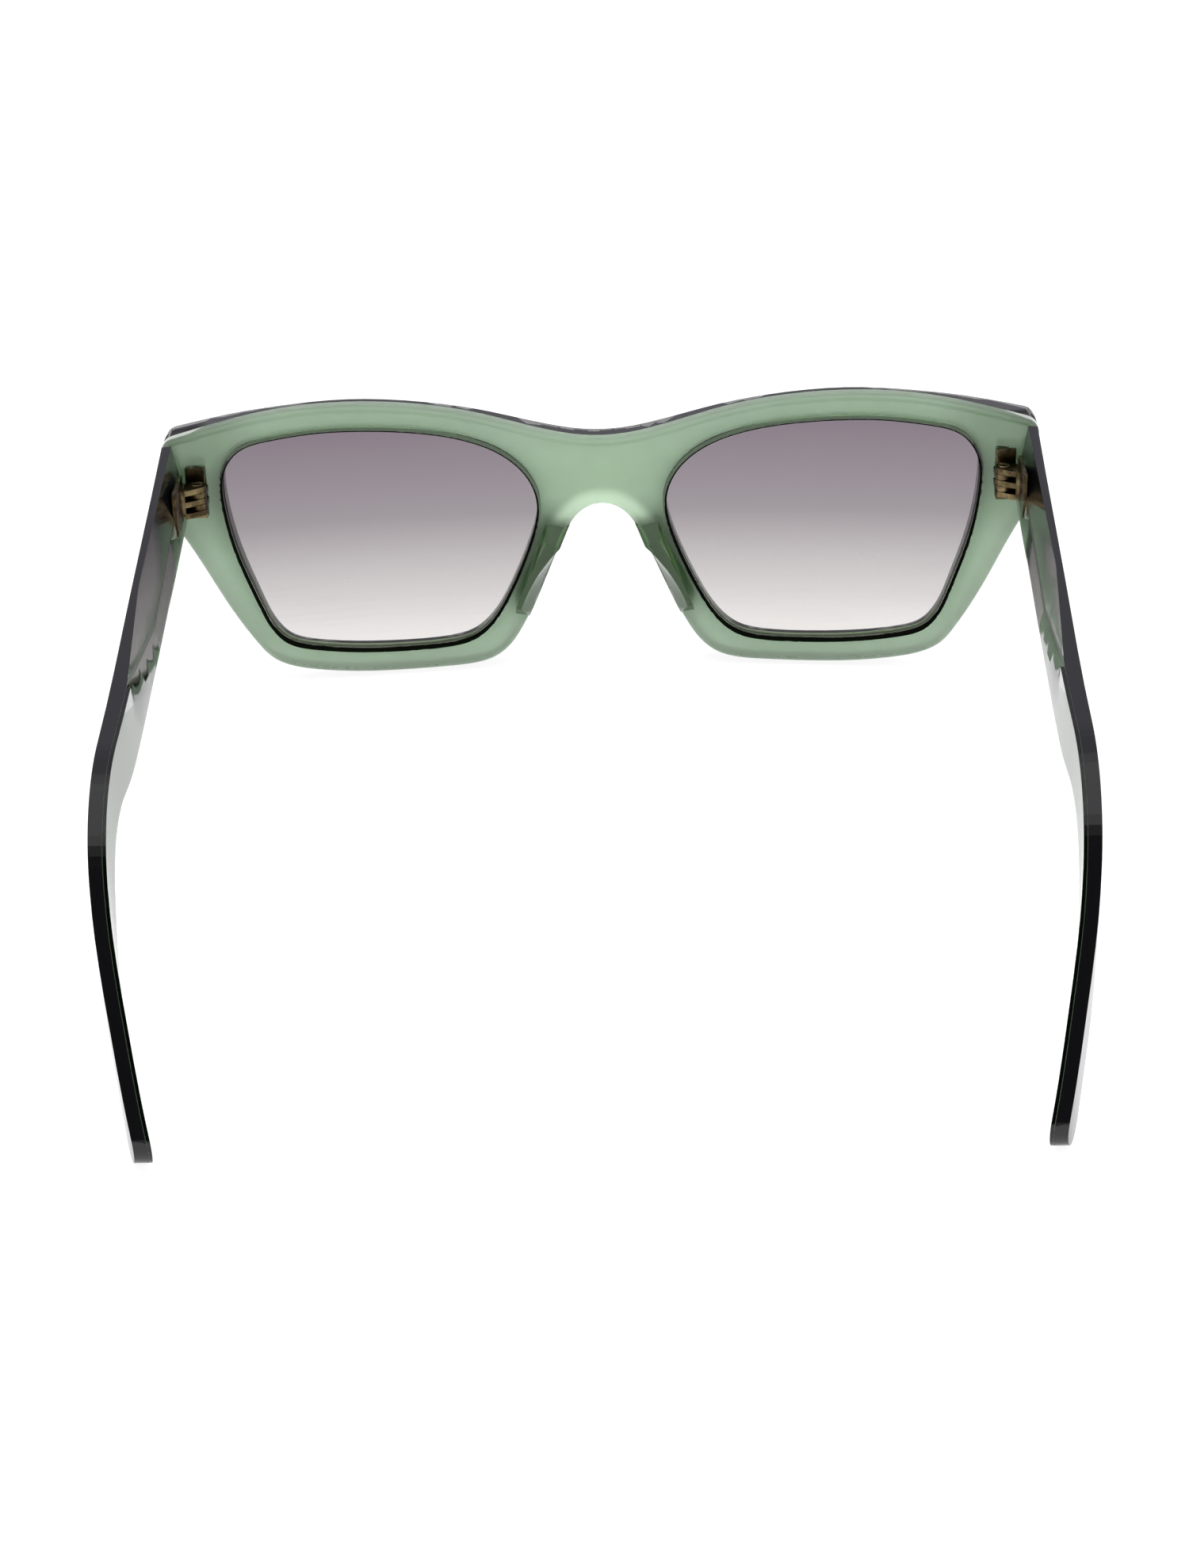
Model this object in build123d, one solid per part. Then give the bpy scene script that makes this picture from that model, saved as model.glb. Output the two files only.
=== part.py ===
"""Cat-eye sunglasses: laminated acetate front, gradient lenses and two folding temples.

Frame while modelling: +X is the wearer's left, the front faces -Y, the temples run to +Y,
+Z is up and Z = 0 is the table the rims and temple tips rest on. Lengths are in mm.
The front is drawn upright in its own plane (x, w), with its thickness along v, and is then
leaned by the pantoscopic angle. The finished set is moved so that the origin is at the
bottom centre of its bounding box.
"""
import os
from math import cos, radians, sin, sqrt

from build123d import *

# Overall sizes
FRONT_WIDTH = 143.6
TEMPLE_LENGTH = 142.0
LENS_HEIGHT = 39.5
BRIDGE_GAP = 21.6
ENDPIECE_WIDTH = 9.55
PANTOSCOPIC_ANGLE = 8.0
FRONT_CURVE_RADIUS = 400.0

# Front laminate, measured through its thickness
GREEN_PLY = 3.0
OPAL_PLY = 0.2
BLACK_AT_LENS = 0.95
BLACK_AT_BRIDGE = 2.65
BLACK_AT_BROW = 2.6
BLACK_AT_END = 4.2
END_ROUND = 2.4

# Front outline
RIM_BELOW = 4.1
RIM_ABOVE = 4.4
BRIDGE_HEIGHT = 11.25
NOSE_ARCH_TOP = 29.0
ENDPIECE_TOP = 43.8
ENDPIECE_BOTTOM = 30.4
CORNER_RADIUS = 2.2
BACK_EDGE_ROUND = 1.1
OPENING_EDGE_ROUND = 0.5

# Lenses
LENS_THICKNESS = 1.8
LENS_INSET = 1.0
LENS_CLEARANCE = 0.05
GROOVE_DEPTH = 0.6
GROOVE_WIDTH = 0.9
OPENING_STATIONS = 30

# Nose pads
PAD_HEIGHT = 3.2
PAD_FLARE = 1.7

# Hinges
PIN_RADIUS = 0.6
PIN_CLEARANCE = 0.05
BARREL_RADIUS = 1.5
KNUCKLE_COUNT = 5
KNUCKLE_PITCH = 1.0
KNUCKLE_GAP = 0.08
HINGE_TOP = 37.7
AXIS_BEHIND_FRONT = 3.2
AXIS_INSIDE_TEMPLE = 2.5
SCREW_HEAD_RADIUS = 1.0
SCREW_HEAD_HEIGHT = 0.5
SCREW_SLOT = 0.3
BLOCK_PROUD = 0.6
BLOCK_SINK = 1.4
BLOCK_OVER_KNUCKLES = 1.9
BLOCK_INSIDE_AXIS = 1.0
BLOCK_TEMPLE_GAP = 0.35
BODY_GAP = 0.15
BODY_BEHIND_AXIS = 2.9
BODY_ROUND = 1.6
HINGE_PLATE = 0.3
HINGE_PLATE_LENGTH = 9.0

# Temples
TEMPLE_THICKNESS = 3.2
TEMPLE_BLACK_PLY = 2.4
TEMPLE_OPAL_PLY = 0.15
TEMPLE_TOP = 44.0
TEMPLE_FRONT_HEIGHT = 12.4
TEMPLE_MID_HEIGHT = 11.0
EAR_WIDTH = 8.0
EAR_THINNING = 0.8
EAR_DROP_ANGLE = 52.5
EAR_BEND_RADIUS = 26.0
END_GAP = 0.15
BEVEL_HEIGHT = 8.0
BEVEL_DEPTH = 1.45
BEVEL_LENGTH = 62.0
TEMPLE_INSET = 0.3
WIRE_SIZE = 1.1

# Derived sizes
HALF_WIDTH = FRONT_WIDTH / 2
LENS_WIDTH = HALF_WIDTH - BRIDGE_GAP / 2 - ENDPIECE_WIDTH
LENS_INNER = BRIDGE_GAP / 2
LENS_OUTER = LENS_INNER + LENS_WIDTH
LENS_TOP = RIM_BELOW + LENS_HEIGHT
BRIDGE_TOP = NOSE_ARCH_TOP + BRIDGE_HEIGHT
HINGE_HEIGHT = KNUCKLE_COUNT * KNUCKLE_PITCH
HINGE_BOTTOM = HINGE_TOP - HINGE_HEIGHT
TEMPLE_OUTER = HALF_WIDTH - TEMPLE_INSET
TEMPLE_INNER = TEMPLE_OUTER - TEMPLE_THICKNESS
AXIS_X = TEMPLE_INNER - AXIS_INSIDE_TEMPLE
BLOCK_TOP = HINGE_TOP + BLOCK_OVER_KNUCKLES
BLOCK_BOTTOM = HINGE_BOTTOM - BLOCK_OVER_KNUCKLES


def back_of_front(x: float) -> float:
    """Depth v of the front's back face at the distance x from the middle."""
    return FRONT_CURVE_RADIUS - sqrt(FRONT_CURVE_RADIUS**2 - x * x)


def lens_point(across: float, up: float) -> tuple[float, float]:
    """A point of the lens opening given as fractions of its width and height."""
    return (LENS_INNER + across * LENS_WIDTH, RIM_BELOW + up * LENS_HEIGHT)


def outside_point(curve: Edge, at: float, distance: float) -> Vector:
    """The point of a clockwise closed curve's station moved outwards by a distance."""
    along = curve.tangent_at(at)
    return curve.position_at(at) + Vector(-along.Y, along.X) * distance


def lens_opening(grow: float = 0.0) -> Face:
    """The left lens opening in the (x, w) plane, grown outwards by the given amount."""
    fractions = (
        (0.0, 0.642),
        (0.031, 0.761),
        (0.097, 0.852),
        (0.215, 0.929),
        (0.386, 0.978),
        (0.555, 0.998),
        (0.70, 1.0),
        (0.841, 0.982),
        (0.942, 0.943),
        (0.994, 0.846),
        (1.0, 0.716),
        (0.968, 0.478),
        (0.913, 0.26),
        (0.869, 0.128),
        (0.826, 0.068),
        (0.751, 0.034),
        (0.606, 0.007),
        (0.43, 0.0),
        (0.29, 0.012),
        (0.228, 0.034),
        (0.175, 0.086),
        (0.103, 0.229),
        (0.0445, 0.398),
        (0.01, 0.53),
    )
    curve = Spline(*[lens_point(across, up) for across, up in fractions], periodic=True)
    if grow:
        stations = [step / OPENING_STATIONS for step in range(OPENING_STATIONS)]
        curve = Spline(*[outside_point(curve, at, grow) for at in stations], periodic=True)
    return Plane.XZ * make_face(curve)


def front_outline() -> Face:
    """The whole front in the (x, w) plane: brow, endpieces, rims and nose arch."""
    end_x = HALF_WIDTH
    brow = LENS_TOP + RIM_ABOVE
    rise = brow - BRIDGE_TOP
    top = (
        (0.0, BRIDGE_TOP),
        (LENS_INNER * 0.39, BRIDGE_TOP + 0.04 * rise),
        (LENS_INNER * 0.87, BRIDGE_TOP + 0.185 * rise),
        (LENS_INNER + 0.074 * LENS_WIDTH, BRIDGE_TOP + 0.385 * rise),
        (LENS_INNER + 0.175 * LENS_WIDTH, BRIDGE_TOP + 0.59 * rise),
        (LENS_INNER + 0.323 * LENS_WIDTH, BRIDGE_TOP + 0.81 * rise),
        (LENS_INNER + 0.475 * LENS_WIDTH, BRIDGE_TOP + 0.945 * rise),
        (LENS_INNER + 0.626 * LENS_WIDTH, brow),
        (LENS_INNER + 0.777 * LENS_WIDTH, brow - 0.25),
        (LENS_INNER + 0.93 * LENS_WIDTH, brow - 1.3),
        (LENS_OUTER + 0.17 * ENDPIECE_WIDTH, brow - 2.4),
        (end_x, ENDPIECE_TOP),
    )
    bottom = (
        (end_x - 0.9, ENDPIECE_BOTTOM),
        (LENS_OUTER + 0.62 * ENDPIECE_WIDTH, RIM_BELOW + 0.53 * LENS_HEIGHT),
        (LENS_OUTER + 0.13 * ENDPIECE_WIDTH, RIM_BELOW + 0.282 * LENS_HEIGHT),
        (LENS_OUTER - 0.069 * LENS_WIDTH, RIM_BELOW + 0.067 * LENS_HEIGHT),
        (LENS_OUTER - 0.118 * LENS_WIDTH, 0.9 * RIM_BELOW),
        (LENS_OUTER - 0.168 * LENS_WIDTH, 0.55 * RIM_BELOW),
        (LENS_OUTER - 0.269 * LENS_WIDTH, 0.23 * RIM_BELOW),
        (LENS_INNER + 0.573 * LENS_WIDTH, 0.02 * RIM_BELOW),
        (LENS_INNER + 0.418 * LENS_WIDTH, 0.0),
        (LENS_INNER + 0.315 * LENS_WIDTH, 0.04 * RIM_BELOW),
        (LENS_INNER + 0.21 * LENS_WIDTH, 0.17 * RIM_BELOW),
        (LENS_INNER + 0.157 * LENS_WIDTH, 0.39 * RIM_BELOW),
        (LENS_INNER + 0.104 * LENS_WIDTH, 0.92 * RIM_BELOW),
        (LENS_INNER + 0.0505 * LENS_WIDTH, RIM_BELOW + 0.1 * LENS_HEIGHT),
        (LENS_INNER * 1.018, RIM_BELOW + 0.224 * LENS_HEIGHT),
        (LENS_INNER * 0.787, NOSE_ARCH_TOP - 10.2),
        (LENS_INNER * 0.552, NOSE_ARCH_TOP - 4.6),
        (LENS_INNER * 0.315, NOSE_ARCH_TOP - 1.25),
        (0.0, NOSE_ARCH_TOP),
    )
    low_left = tuple((-x, w) for x, w in bottom[:-1])
    top_left = tuple((-x, w) for x, w in reversed(top[1:]))
    top_edge = Spline(*top_left, *top, tangents=((1, 0.22), (1, -0.22)))
    low_edge = Spline(*bottom, *reversed(low_left), tangents=((-0.45, -1), (-0.45, 1)))
    right_end = Line(top[-1], bottom[0])
    left_end = Line(low_left[0], top_left[0])
    face = make_face([top_edge, right_end, low_edge, left_end])
    return Plane.XZ * fillet(face.vertices(), CORNER_RADIUS)


def through(face: Face) -> Part:
    """Extrude a face drawn in the (x, w) plane both ways through the front's thickness."""
    return extrude(face, 40.0, both=True)


def curved_shell(near: float, far: float) -> Part:
    """Layer parallel to the back face, between two depths measured forwards from it."""
    centre = Pos(0, FRONT_CURVE_RADIUS, 20.0)
    outer = centre * Cylinder(FRONT_CURVE_RADIUS + far, 120.0)
    inner = centre * Cylinder(FRONT_CURVE_RADIUS + near, 130.0)
    keep = Pos(0, 0, 20.0) * Box(2 * FRONT_WIDTH, 80.0, 110.0)
    return (outer - inner) & keep


def black_layer() -> Part:
    """Outer ply before trimming: flush on the opal ply, thick at the bridge and brow ends."""
    base = GREEN_PLY + OPAL_PLY
    reach = HALF_WIDTH + 4.0
    end_v = back_of_front(HALF_WIDTH - END_ROUND) - base - BLACK_AT_END
    arc_share = 1.0 - sqrt(0.5)

    def face_point(x: float, thickness: float) -> tuple[float, float]:
        return (x, back_of_front(x) - base - thickness)

    right = (
        face_point(0.0, BLACK_AT_BRIDGE),
        face_point(LENS_INNER * 1.1, 0.84 * BLACK_AT_BRIDGE),
        face_point(LENS_INNER + 0.27 * LENS_WIDTH, 1.15 * BLACK_AT_LENS),
        face_point(LENS_INNER + 0.6 * LENS_WIDTH, BLACK_AT_LENS),
        face_point(LENS_OUTER - 0.17 * LENS_WIDTH, 1.15 * BLACK_AT_LENS),
        face_point(LENS_OUTER - 0.1 * ENDPIECE_WIDTH, BLACK_AT_BROW),
        (HALF_WIDTH - END_ROUND, end_v),
    )
    left = tuple((-x, v) for x, v in reversed(right[1:]))
    profile = Spline(*left, *right)
    corner = ThreePointArc(
        right[-1],
        (HALF_WIDTH - arc_share * END_ROUND, end_v + arc_share * END_ROUND),
        (HALF_WIDTH, end_v + END_ROUND),
    )
    other_corner = ThreePointArc(
        left[0],
        (-HALF_WIDTH + arc_share * END_ROUND, end_v + arc_share * END_ROUND),
        (-HALF_WIDTH, end_v + END_ROUND),
    )
    side_v = end_v + END_ROUND
    rear = Polyline(
        (HALF_WIDTH, side_v),
        (reach, side_v),
        (reach, 30.0),
        (-reach, 30.0),
        (-reach, side_v),
        (-HALF_WIDTH, side_v),
    )
    block = Pos(0, 0, -20.0) * extrude(make_face([profile, corner, rear, other_corner]), 120.0)
    behind = Pos(0, FRONT_CURVE_RADIUS, 20.0) * Cylinder(FRONT_CURVE_RADIUS + base, 130.0)
    return block - behind


def back_edges(part: Part) -> list[Edge]:
    """Edges that lie on the front's back face."""
    found = []
    for edge in part.edges():
        gaps = [abs(v.Y - back_of_front(v.X)) for v in edge.vertices()]
        if gaps and max(gaps) < 0.02:
            found.append(edge)
    return found


def lean(part: Part) -> Part:
    """Lean a piece drawn upright by the pantoscopic angle, top forwards."""
    return Rot(PANTOSCOPIC_ANGLE, 0, 0) * part


def mirrored(part: Part) -> Part:
    """The same piece on the wearer's right."""
    return mirror(part, about=Plane.YZ)


# Front, lenses and nose pads, drawn upright


def front_plies() -> dict[str, Part]:
    """The three bonded plies of the front, with lens grooves and hinge pockets cut."""
    outline = through(front_outline())
    opening = through(lens_opening())
    openings = opening + mirrored(opening)
    groove_outline = through(lens_opening(GROOVE_DEPTH))
    middle = LENS_INSET + LENS_THICKNESS / 2
    ring = curved_shell(middle - GROOVE_WIDTH / 2, middle + GROOVE_WIDTH / 2)
    groove = groove_outline & ring
    grooves = groove + mirrored(groove)
    body = outline - openings
    green = outline & curved_shell(0.0, GREEN_PLY)
    green = fillet(back_edges(green), BACK_EDGE_ROUND)
    green = green - openings
    opening_edges = [edge for edge in back_edges(green) if edge.length > 2 * LENS_HEIGHT]
    green = fillet(opening_edges, OPENING_EDGE_ROUND)
    pocket = hinge_block()
    green = green - grooves - pocket - mirrored(pocket)
    opal = body & curved_shell(GREEN_PLY, GREEN_PLY + OPAL_PLY)
    black = body & black_layer()
    return {"front_green_ply": green, "front_opal_ply": opal, "front_black_ply": black}


def lens() -> Part:
    """The left lens: a curved plate with a raised bevel round its edge for the groove."""
    plate = through(lens_opening(-LENS_CLEARANCE))
    plate = plate & curved_shell(LENS_INSET, LENS_INSET + LENS_THICKNESS)
    middle = LENS_INSET + LENS_THICKNESS / 2
    half_bevel = GROOVE_WIDTH / 2 - LENS_CLEARANCE
    bevel = through(lens_opening(GROOVE_DEPTH - LENS_CLEARANCE))
    bevel = bevel & curved_shell(middle - half_bevel, middle + half_bevel)
    return plate + bevel


def nose_pad(green_ply: Part) -> Part:
    """The left moulded pad bonded to the back of the rim beside the nose."""
    low = RIM_BELOW + 0.11 * LENS_HEIGHT
    high = NOSE_ARCH_TOP - 3.2
    middle = (low + high) / 2

    def outline(depth: float, flare: float, shorten: float, narrow: float) -> Face:
        nose_side = (
            (LENS_INNER * 0.50 + flare, high - shorten),
            (LENS_INNER * 0.80 + flare, middle + 1.6),
            (LENS_INNER * 1.14 + flare, low + shorten),
        )
        lens_side = (
            (LENS_INNER * 1.40 - narrow, low + shorten + 0.3),
            (LENS_INNER * 1.12 - narrow, middle + 1.6),
            (LENS_INNER * 0.88 - narrow, high - shorten + 1.0),
        )
        edges = [Spline(*nose_side), Spline(*lens_side)]
        foot = Line(nose_side[-1], lens_side[0])
        head = Line(lens_side[-1], nose_side[0])
        face = make_face([edges[0], foot, edges[1], head])
        return Plane(origin=(0, depth, 0), x_dir=(1, 0, 0), z_dir=(0, -1, 0)) * face

    pad = loft([outline(-BACK_EDGE_ROUND, -0.2, 0.0, 0.0), outline(PAD_HEIGHT, PAD_FLARE, 3.2, 0.25)])
    return (pad & through(front_outline())) - green_ply


# Hinges, drawn upright on the wearer's left


def axis_depth() -> float:
    """Depth v of the hinge axis."""
    return back_of_front(AXIS_X) + AXIS_BEHIND_FRONT


def box_between(low: tuple[float, float, float], high: tuple[float, float, float]) -> Part:
    """A block given by two opposite corners."""
    size = [b - a for a, b in zip(low, high)]
    middle = [(a + b) / 2 for a, b in zip(low, high)]
    return Pos(*middle) * Box(*size)


def knuckle_span(level: int) -> tuple[float, float]:
    """Bottom and top of a knuckle, counted upwards from 0."""
    bottom = HINGE_BOTTOM + level * KNUCKLE_PITCH + KNUCKLE_GAP / 2
    return bottom, bottom + KNUCKLE_PITCH - KNUCKLE_GAP


def knuckle(level: int, bore: float) -> Part:
    """One barrel knuckle round the hinge axis, bored for the screw."""
    bottom, top = knuckle_span(level)
    middle = Pos(AXIS_X, axis_depth(), (bottom + top) / 2)
    barrel = middle * Cylinder(BARREL_RADIUS, top - bottom)
    hole = middle * Cylinder(bore, top - bottom + 1.0)
    return barrel - hole


def bore_cut(bore: float) -> Part:
    """The hole for the screw through every knuckle."""
    middle = Pos(AXIS_X, axis_depth(), (HINGE_TOP + HINGE_BOTTOM) / 2)
    return middle * Cylinder(bore, HINGE_HEIGHT + 2.0)


def hinge_block() -> Part:
    """The block of the front hinge half, sunk into the front's back face."""
    depth = back_of_front(AXIS_X)
    return box_between(
        (AXIS_X - BLOCK_INSIDE_AXIS, depth - BLOCK_SINK, BLOCK_BOTTOM),
        (TEMPLE_INNER - BLOCK_TEMPLE_GAP, depth + BLOCK_PROUD, BLOCK_TOP),
    )


def front_hinge() -> Part:
    """Front hinge half: a sunk block carrying two knuckles."""
    depth = back_of_front(AXIS_X)
    part = hinge_block()
    for level in range(1, KNUCKLE_COUNT, 2):
        bottom, top = knuckle_span(level)
        arm = box_between(
            (AXIS_X - BARREL_RADIUS, depth + BLOCK_PROUD - 0.1, bottom),
            (AXIS_X + BARREL_RADIUS, axis_depth(), top),
        )
        part = part + arm + knuckle(level, PIN_RADIUS + PIN_CLEARANCE)
    return part - bore_cut(PIN_RADIUS + PIN_CLEARANCE)


def temple_plate() -> Part:
    """The plate of the temple hinge half, sunk into the temple's inner face."""
    return box_between(
        (TEMPLE_INNER - 0.3, axis_depth() + 0.4, BLOCK_BOTTOM),
        (TEMPLE_INNER + HINGE_PLATE, axis_depth() + HINGE_PLATE_LENGTH, BLOCK_TOP),
    )


def temple_hinge() -> Part:
    """Temple hinge half: three knuckles, a rounded body beside them and a sunk plate."""
    depth = axis_depth()
    body_side = AXIS_X + BARREL_RADIUS + BODY_GAP
    rear = depth + BODY_BEHIND_AXIS
    body = box_between(
        (body_side, depth - 0.9, HINGE_BOTTOM),
        (TEMPLE_INNER + HINGE_PLATE, rear, HINGE_TOP),
    )
    low_rear = body.edges().filter_by(Axis.X).group_by(Axis.Z)[0].sort_by(Axis.Y)[-1]
    body = fillet(low_rear, BODY_ROUND)
    part = body + temple_plate()
    for level in range(0, KNUCKLE_COUNT, 2):
        bottom, top = knuckle_span(level)
        web = Polyline(
            (AXIS_X, depth - 0.9),
            (body_side + 0.2, depth - 0.9),
            (body_side + 0.2, rear - 0.1),
            (AXIS_X + 0.6, depth + BARREL_RADIUS + 0.7),
            (AXIS_X - 0.6, depth + BARREL_RADIUS - 0.13),
            (AXIS_X - 0.6, depth),
            close=True,
        )
        arm = Pos(0, 0, bottom) * extrude(make_face(web), top - bottom)
        part = part + arm + knuckle(level, PIN_RADIUS)
    head_seat = Pos(AXIS_X, depth, HINGE_TOP) * Cylinder(SCREW_HEAD_RADIUS, SCREW_HEAD_HEIGHT)
    return part - bore_cut(PIN_RADIUS) - head_seat


def hinge_screw() -> Part:
    """The slotted hinge screw, turning with the temple half."""
    depth = axis_depth()
    head_bottom = HINGE_TOP - SCREW_HEAD_HEIGHT / 2
    shank_length = head_bottom - HINGE_BOTTOM + 0.1
    shank = Pos(AXIS_X, depth, head_bottom - shank_length / 2) * Cylinder(PIN_RADIUS, shank_length)
    head = Pos(AXIS_X, depth, HINGE_TOP) * Cylinder(SCREW_HEAD_RADIUS, SCREW_HEAD_HEIGHT)
    head = fillet(head.edges().group_by(Axis.Z)[-1], 0.12)
    slot = Pos(AXIS_X, depth, HINGE_TOP + 0.25) * Rot(0, 0, 35) * Box(4.0, SCREW_SLOT, 0.5)
    return shank + head - slot


# Temples, drawn in the table frame on the wearer's left

HINGE_Y = axis_depth() * cos(radians(PANTOSCOPIC_ANGLE)) - 35.0 * sin(radians(PANTOSCOPIC_ANGLE))
DROP = radians(EAR_DROP_ANGLE)
TIP_RADIUS = EAR_WIDTH / 2
TEMPLE_TOP_BEND = TEMPLE_TOP - 0.3
EAR_RUN = (TEMPLE_TOP_BEND - TIP_RADIUS * (1 + cos(DROP))) / sin(DROP)
BEND_Y = HINGE_Y + TEMPLE_LENGTH - EAR_RUN


def ear_point(along: float, across: float) -> tuple[float, float]:
    """Side-view point of the ear part: along it from the bend, and across from its top line."""
    y = BEND_Y + along * cos(DROP) - across * sin(DROP)
    z = TEMPLE_TOP_BEND - along * sin(DROP) - across * cos(DROP)
    return (y, z)


def temple_side() -> Part:
    """The temple's side outline as a block wide enough to hold the temple's plan curve."""
    low_bend = ear_point(3.6, EAR_WIDTH)
    points = (
        (-12.0, TEMPLE_TOP + 0.1),
        (BEND_Y, TEMPLE_TOP_BEND),
        ear_point(EAR_RUN + TIP_RADIUS, 0.0),
        ear_point(EAR_RUN + TIP_RADIUS, EAR_WIDTH),
        low_bend,
        (low_bend[0] - 16.0, TEMPLE_TOP - TEMPLE_MID_HEIGHT),
        (-12.0, TEMPLE_TOP - TEMPLE_FRONT_HEIGHT),
    )
    face = make_face(Polyline(*points, close=True))
    radii = (EAR_BEND_RADIUS, 0.49 * EAR_WIDTH, 0.49 * EAR_WIDTH, 15.0, 45.0)
    for point, radius in zip(points[1:6], radii):
        corner = face.vertices().sort_by_distance(point)[0]
        face = fillet(corner, radius)
    return extrude(Plane.YZ * face, FRONT_WIDTH)


def temple_plan(near: float, far: float) -> Part:
    """Upright strip following the temple's plan curve, between two depths from outside.

    Each station gives the outer face's offset, its distance back and the share of the
    full thickness there.
    """
    stations = (
        (0.0, -14.0, 1.0),
        (-0.5, 0.2 * BEND_Y, 1.0),
        (-0.8, 0.5 * BEND_Y, 0.97),
        (-1.1, 0.8 * BEND_Y, 0.9),
        (-1.1, BEND_Y, EAR_THINNING + 0.02),
        (-2.0, BEND_Y + 11.0, EAR_THINNING),
        (-3.9, BEND_Y + 19.0, EAR_THINNING),
        (-6.2, BEND_Y + 27.0, EAR_THINNING),
        (-8.8, BEND_Y + 34.0, EAR_THINNING),
    )
    outer = Spline(*[(TEMPLE_OUTER + x - near * share, y) for x, y, share in stations])
    inner = Spline(*[(TEMPLE_OUTER + x - far * share, y) for x, y, share in stations])
    front = Line(outer @ 0, inner @ 0)
    back = Line(inner @ 1, outer @ 1)
    return Pos(0, 0, -10) * extrude(make_face([outer, back, inner, front]), 80.0)


def bevel_cut() -> Part:
    """The long bevel along the temple's inner top edge, running out behind the hinge."""

    def section(y: float, share: float) -> Face:
        low = (TEMPLE_INNER - 2.0, TEMPLE_TOP - share * BEVEL_HEIGHT - 2.0 * BEVEL_HEIGHT / BEVEL_DEPTH)
        high = (TEMPLE_INNER + share * BEVEL_DEPTH + 0.2, TEMPLE_TOP + 0.2 * BEVEL_HEIGHT / BEVEL_DEPTH)
        wedge = make_face(Polyline(low, high, (low[0], high[1]), close=True))
        return Plane(origin=(0, y, 0), x_dir=(1, 0, 0), z_dir=(0, -1, 0)) * wedge

    straight = extrude(section(BEVEL_LENGTH * 0.7, 1.0), BEVEL_LENGTH * 0.7 + 14.0)
    run_out = loft([section(BEVEL_LENGTH * 0.7, 1.0), section(BEVEL_LENGTH * 1.15, -0.15)])
    return straight + run_out


def wire_shape(side: Part) -> Part:
    """The core wire between two depths of the black ply, following the temple's middle."""
    start = (HINGE_Y + 16.0, TEMPLE_TOP - 5.2)
    bend = ear_point(0.0, 0.0)
    bend = (bend[0] - 2.2, bend[1] - 4.6)
    end = ear_point(EAR_RUN - 6.0, EAR_WIDTH / 2)
    path = FilletPolyline(start, bend, end, radius=EAR_BEND_RADIUS - 4.0)
    face = make_face(offset(path, WIRE_SIZE / 2))
    strip = temple_plan(0.35, 0.35 + WIRE_SIZE)
    return extrude(Plane.YZ * face, FRONT_WIDTH) & strip & side


def temple_parts() -> dict[str, Part]:
    """The left temple's plies, core wire, hinge half and screw, in the table frame."""
    side = temple_side()
    in_front = lean(curved_shell(-END_GAP, 60.0))
    hinge = lean(temple_hinge())
    plate = lean(temple_plate())
    wire = wire_shape(side)
    black_end = TEMPLE_BLACK_PLY
    opal_end = black_end + TEMPLE_OPAL_PLY
    bevel = bevel_cut()
    black = (side & temple_plan(0.0, black_end)) - in_front - bevel - wire - plate
    opal = (side & temple_plan(black_end, opal_end)) - in_front - bevel - plate - hinge
    green = (side & temple_plan(opal_end, TEMPLE_THICKNESS)) - in_front - bevel - plate - hinge
    return {
        "temple_black_ply": black,
        "temple_opal_ply": opal,
        "temple_green_ply": green,
        "temple_core_wire": wire,
        "temple_hinge": hinge,
        "hinge_screw": lean(hinge_screw()),
    }


def build() -> dict[str, Part]:
    """Every node in the modelling frame, keyed by its name."""
    upright = front_plies()
    left_lens = lens()
    left_pad = nose_pad(upright["front_green_ply"])
    left_hinge = front_hinge()
    upright["lens_left"] = left_lens
    upright["lens_right"] = mirrored(left_lens)
    upright["nose_pad_left"] = left_pad
    upright["nose_pad_right"] = mirrored(left_pad)
    upright["front_hinge_left"] = left_hinge
    upright["front_hinge_right"] = mirrored(left_hinge)
    nodes = {name: lean(part) for name, part in upright.items()}
    for name, part in temple_parts().items():
        nodes[name + "_left"] = part
        nodes[name + "_right"] = mirrored(part)
    return nodes


def main() -> None:
    """Build the set, stand it on the table and write one STEP file per node."""
    nodes = build()
    boxes = [part.bounding_box() for part in nodes.values()]
    low_y = min(box.min.Y for box in boxes)
    high_y = max(box.max.Y for box in boxes)
    low_z = min(box.min.Z for box in boxes)
    shift = Pos(0, -(low_y + high_y) / 2, -low_z)
    os.makedirs("parts", exist_ok=True)
    for name, part in nodes.items():
        export_step(shift * part, f"parts/{name}.step")


if __name__ == "__main__":
    main()
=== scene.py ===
"""Cat-eye sunglasses dressed for a product picture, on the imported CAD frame."""

import logging
import math
from dataclasses import dataclass, field
from enum import Enum
from typing import Any

import bmesh
import bpy
import numpy as np
from mathutils import Matrix, Vector

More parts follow.
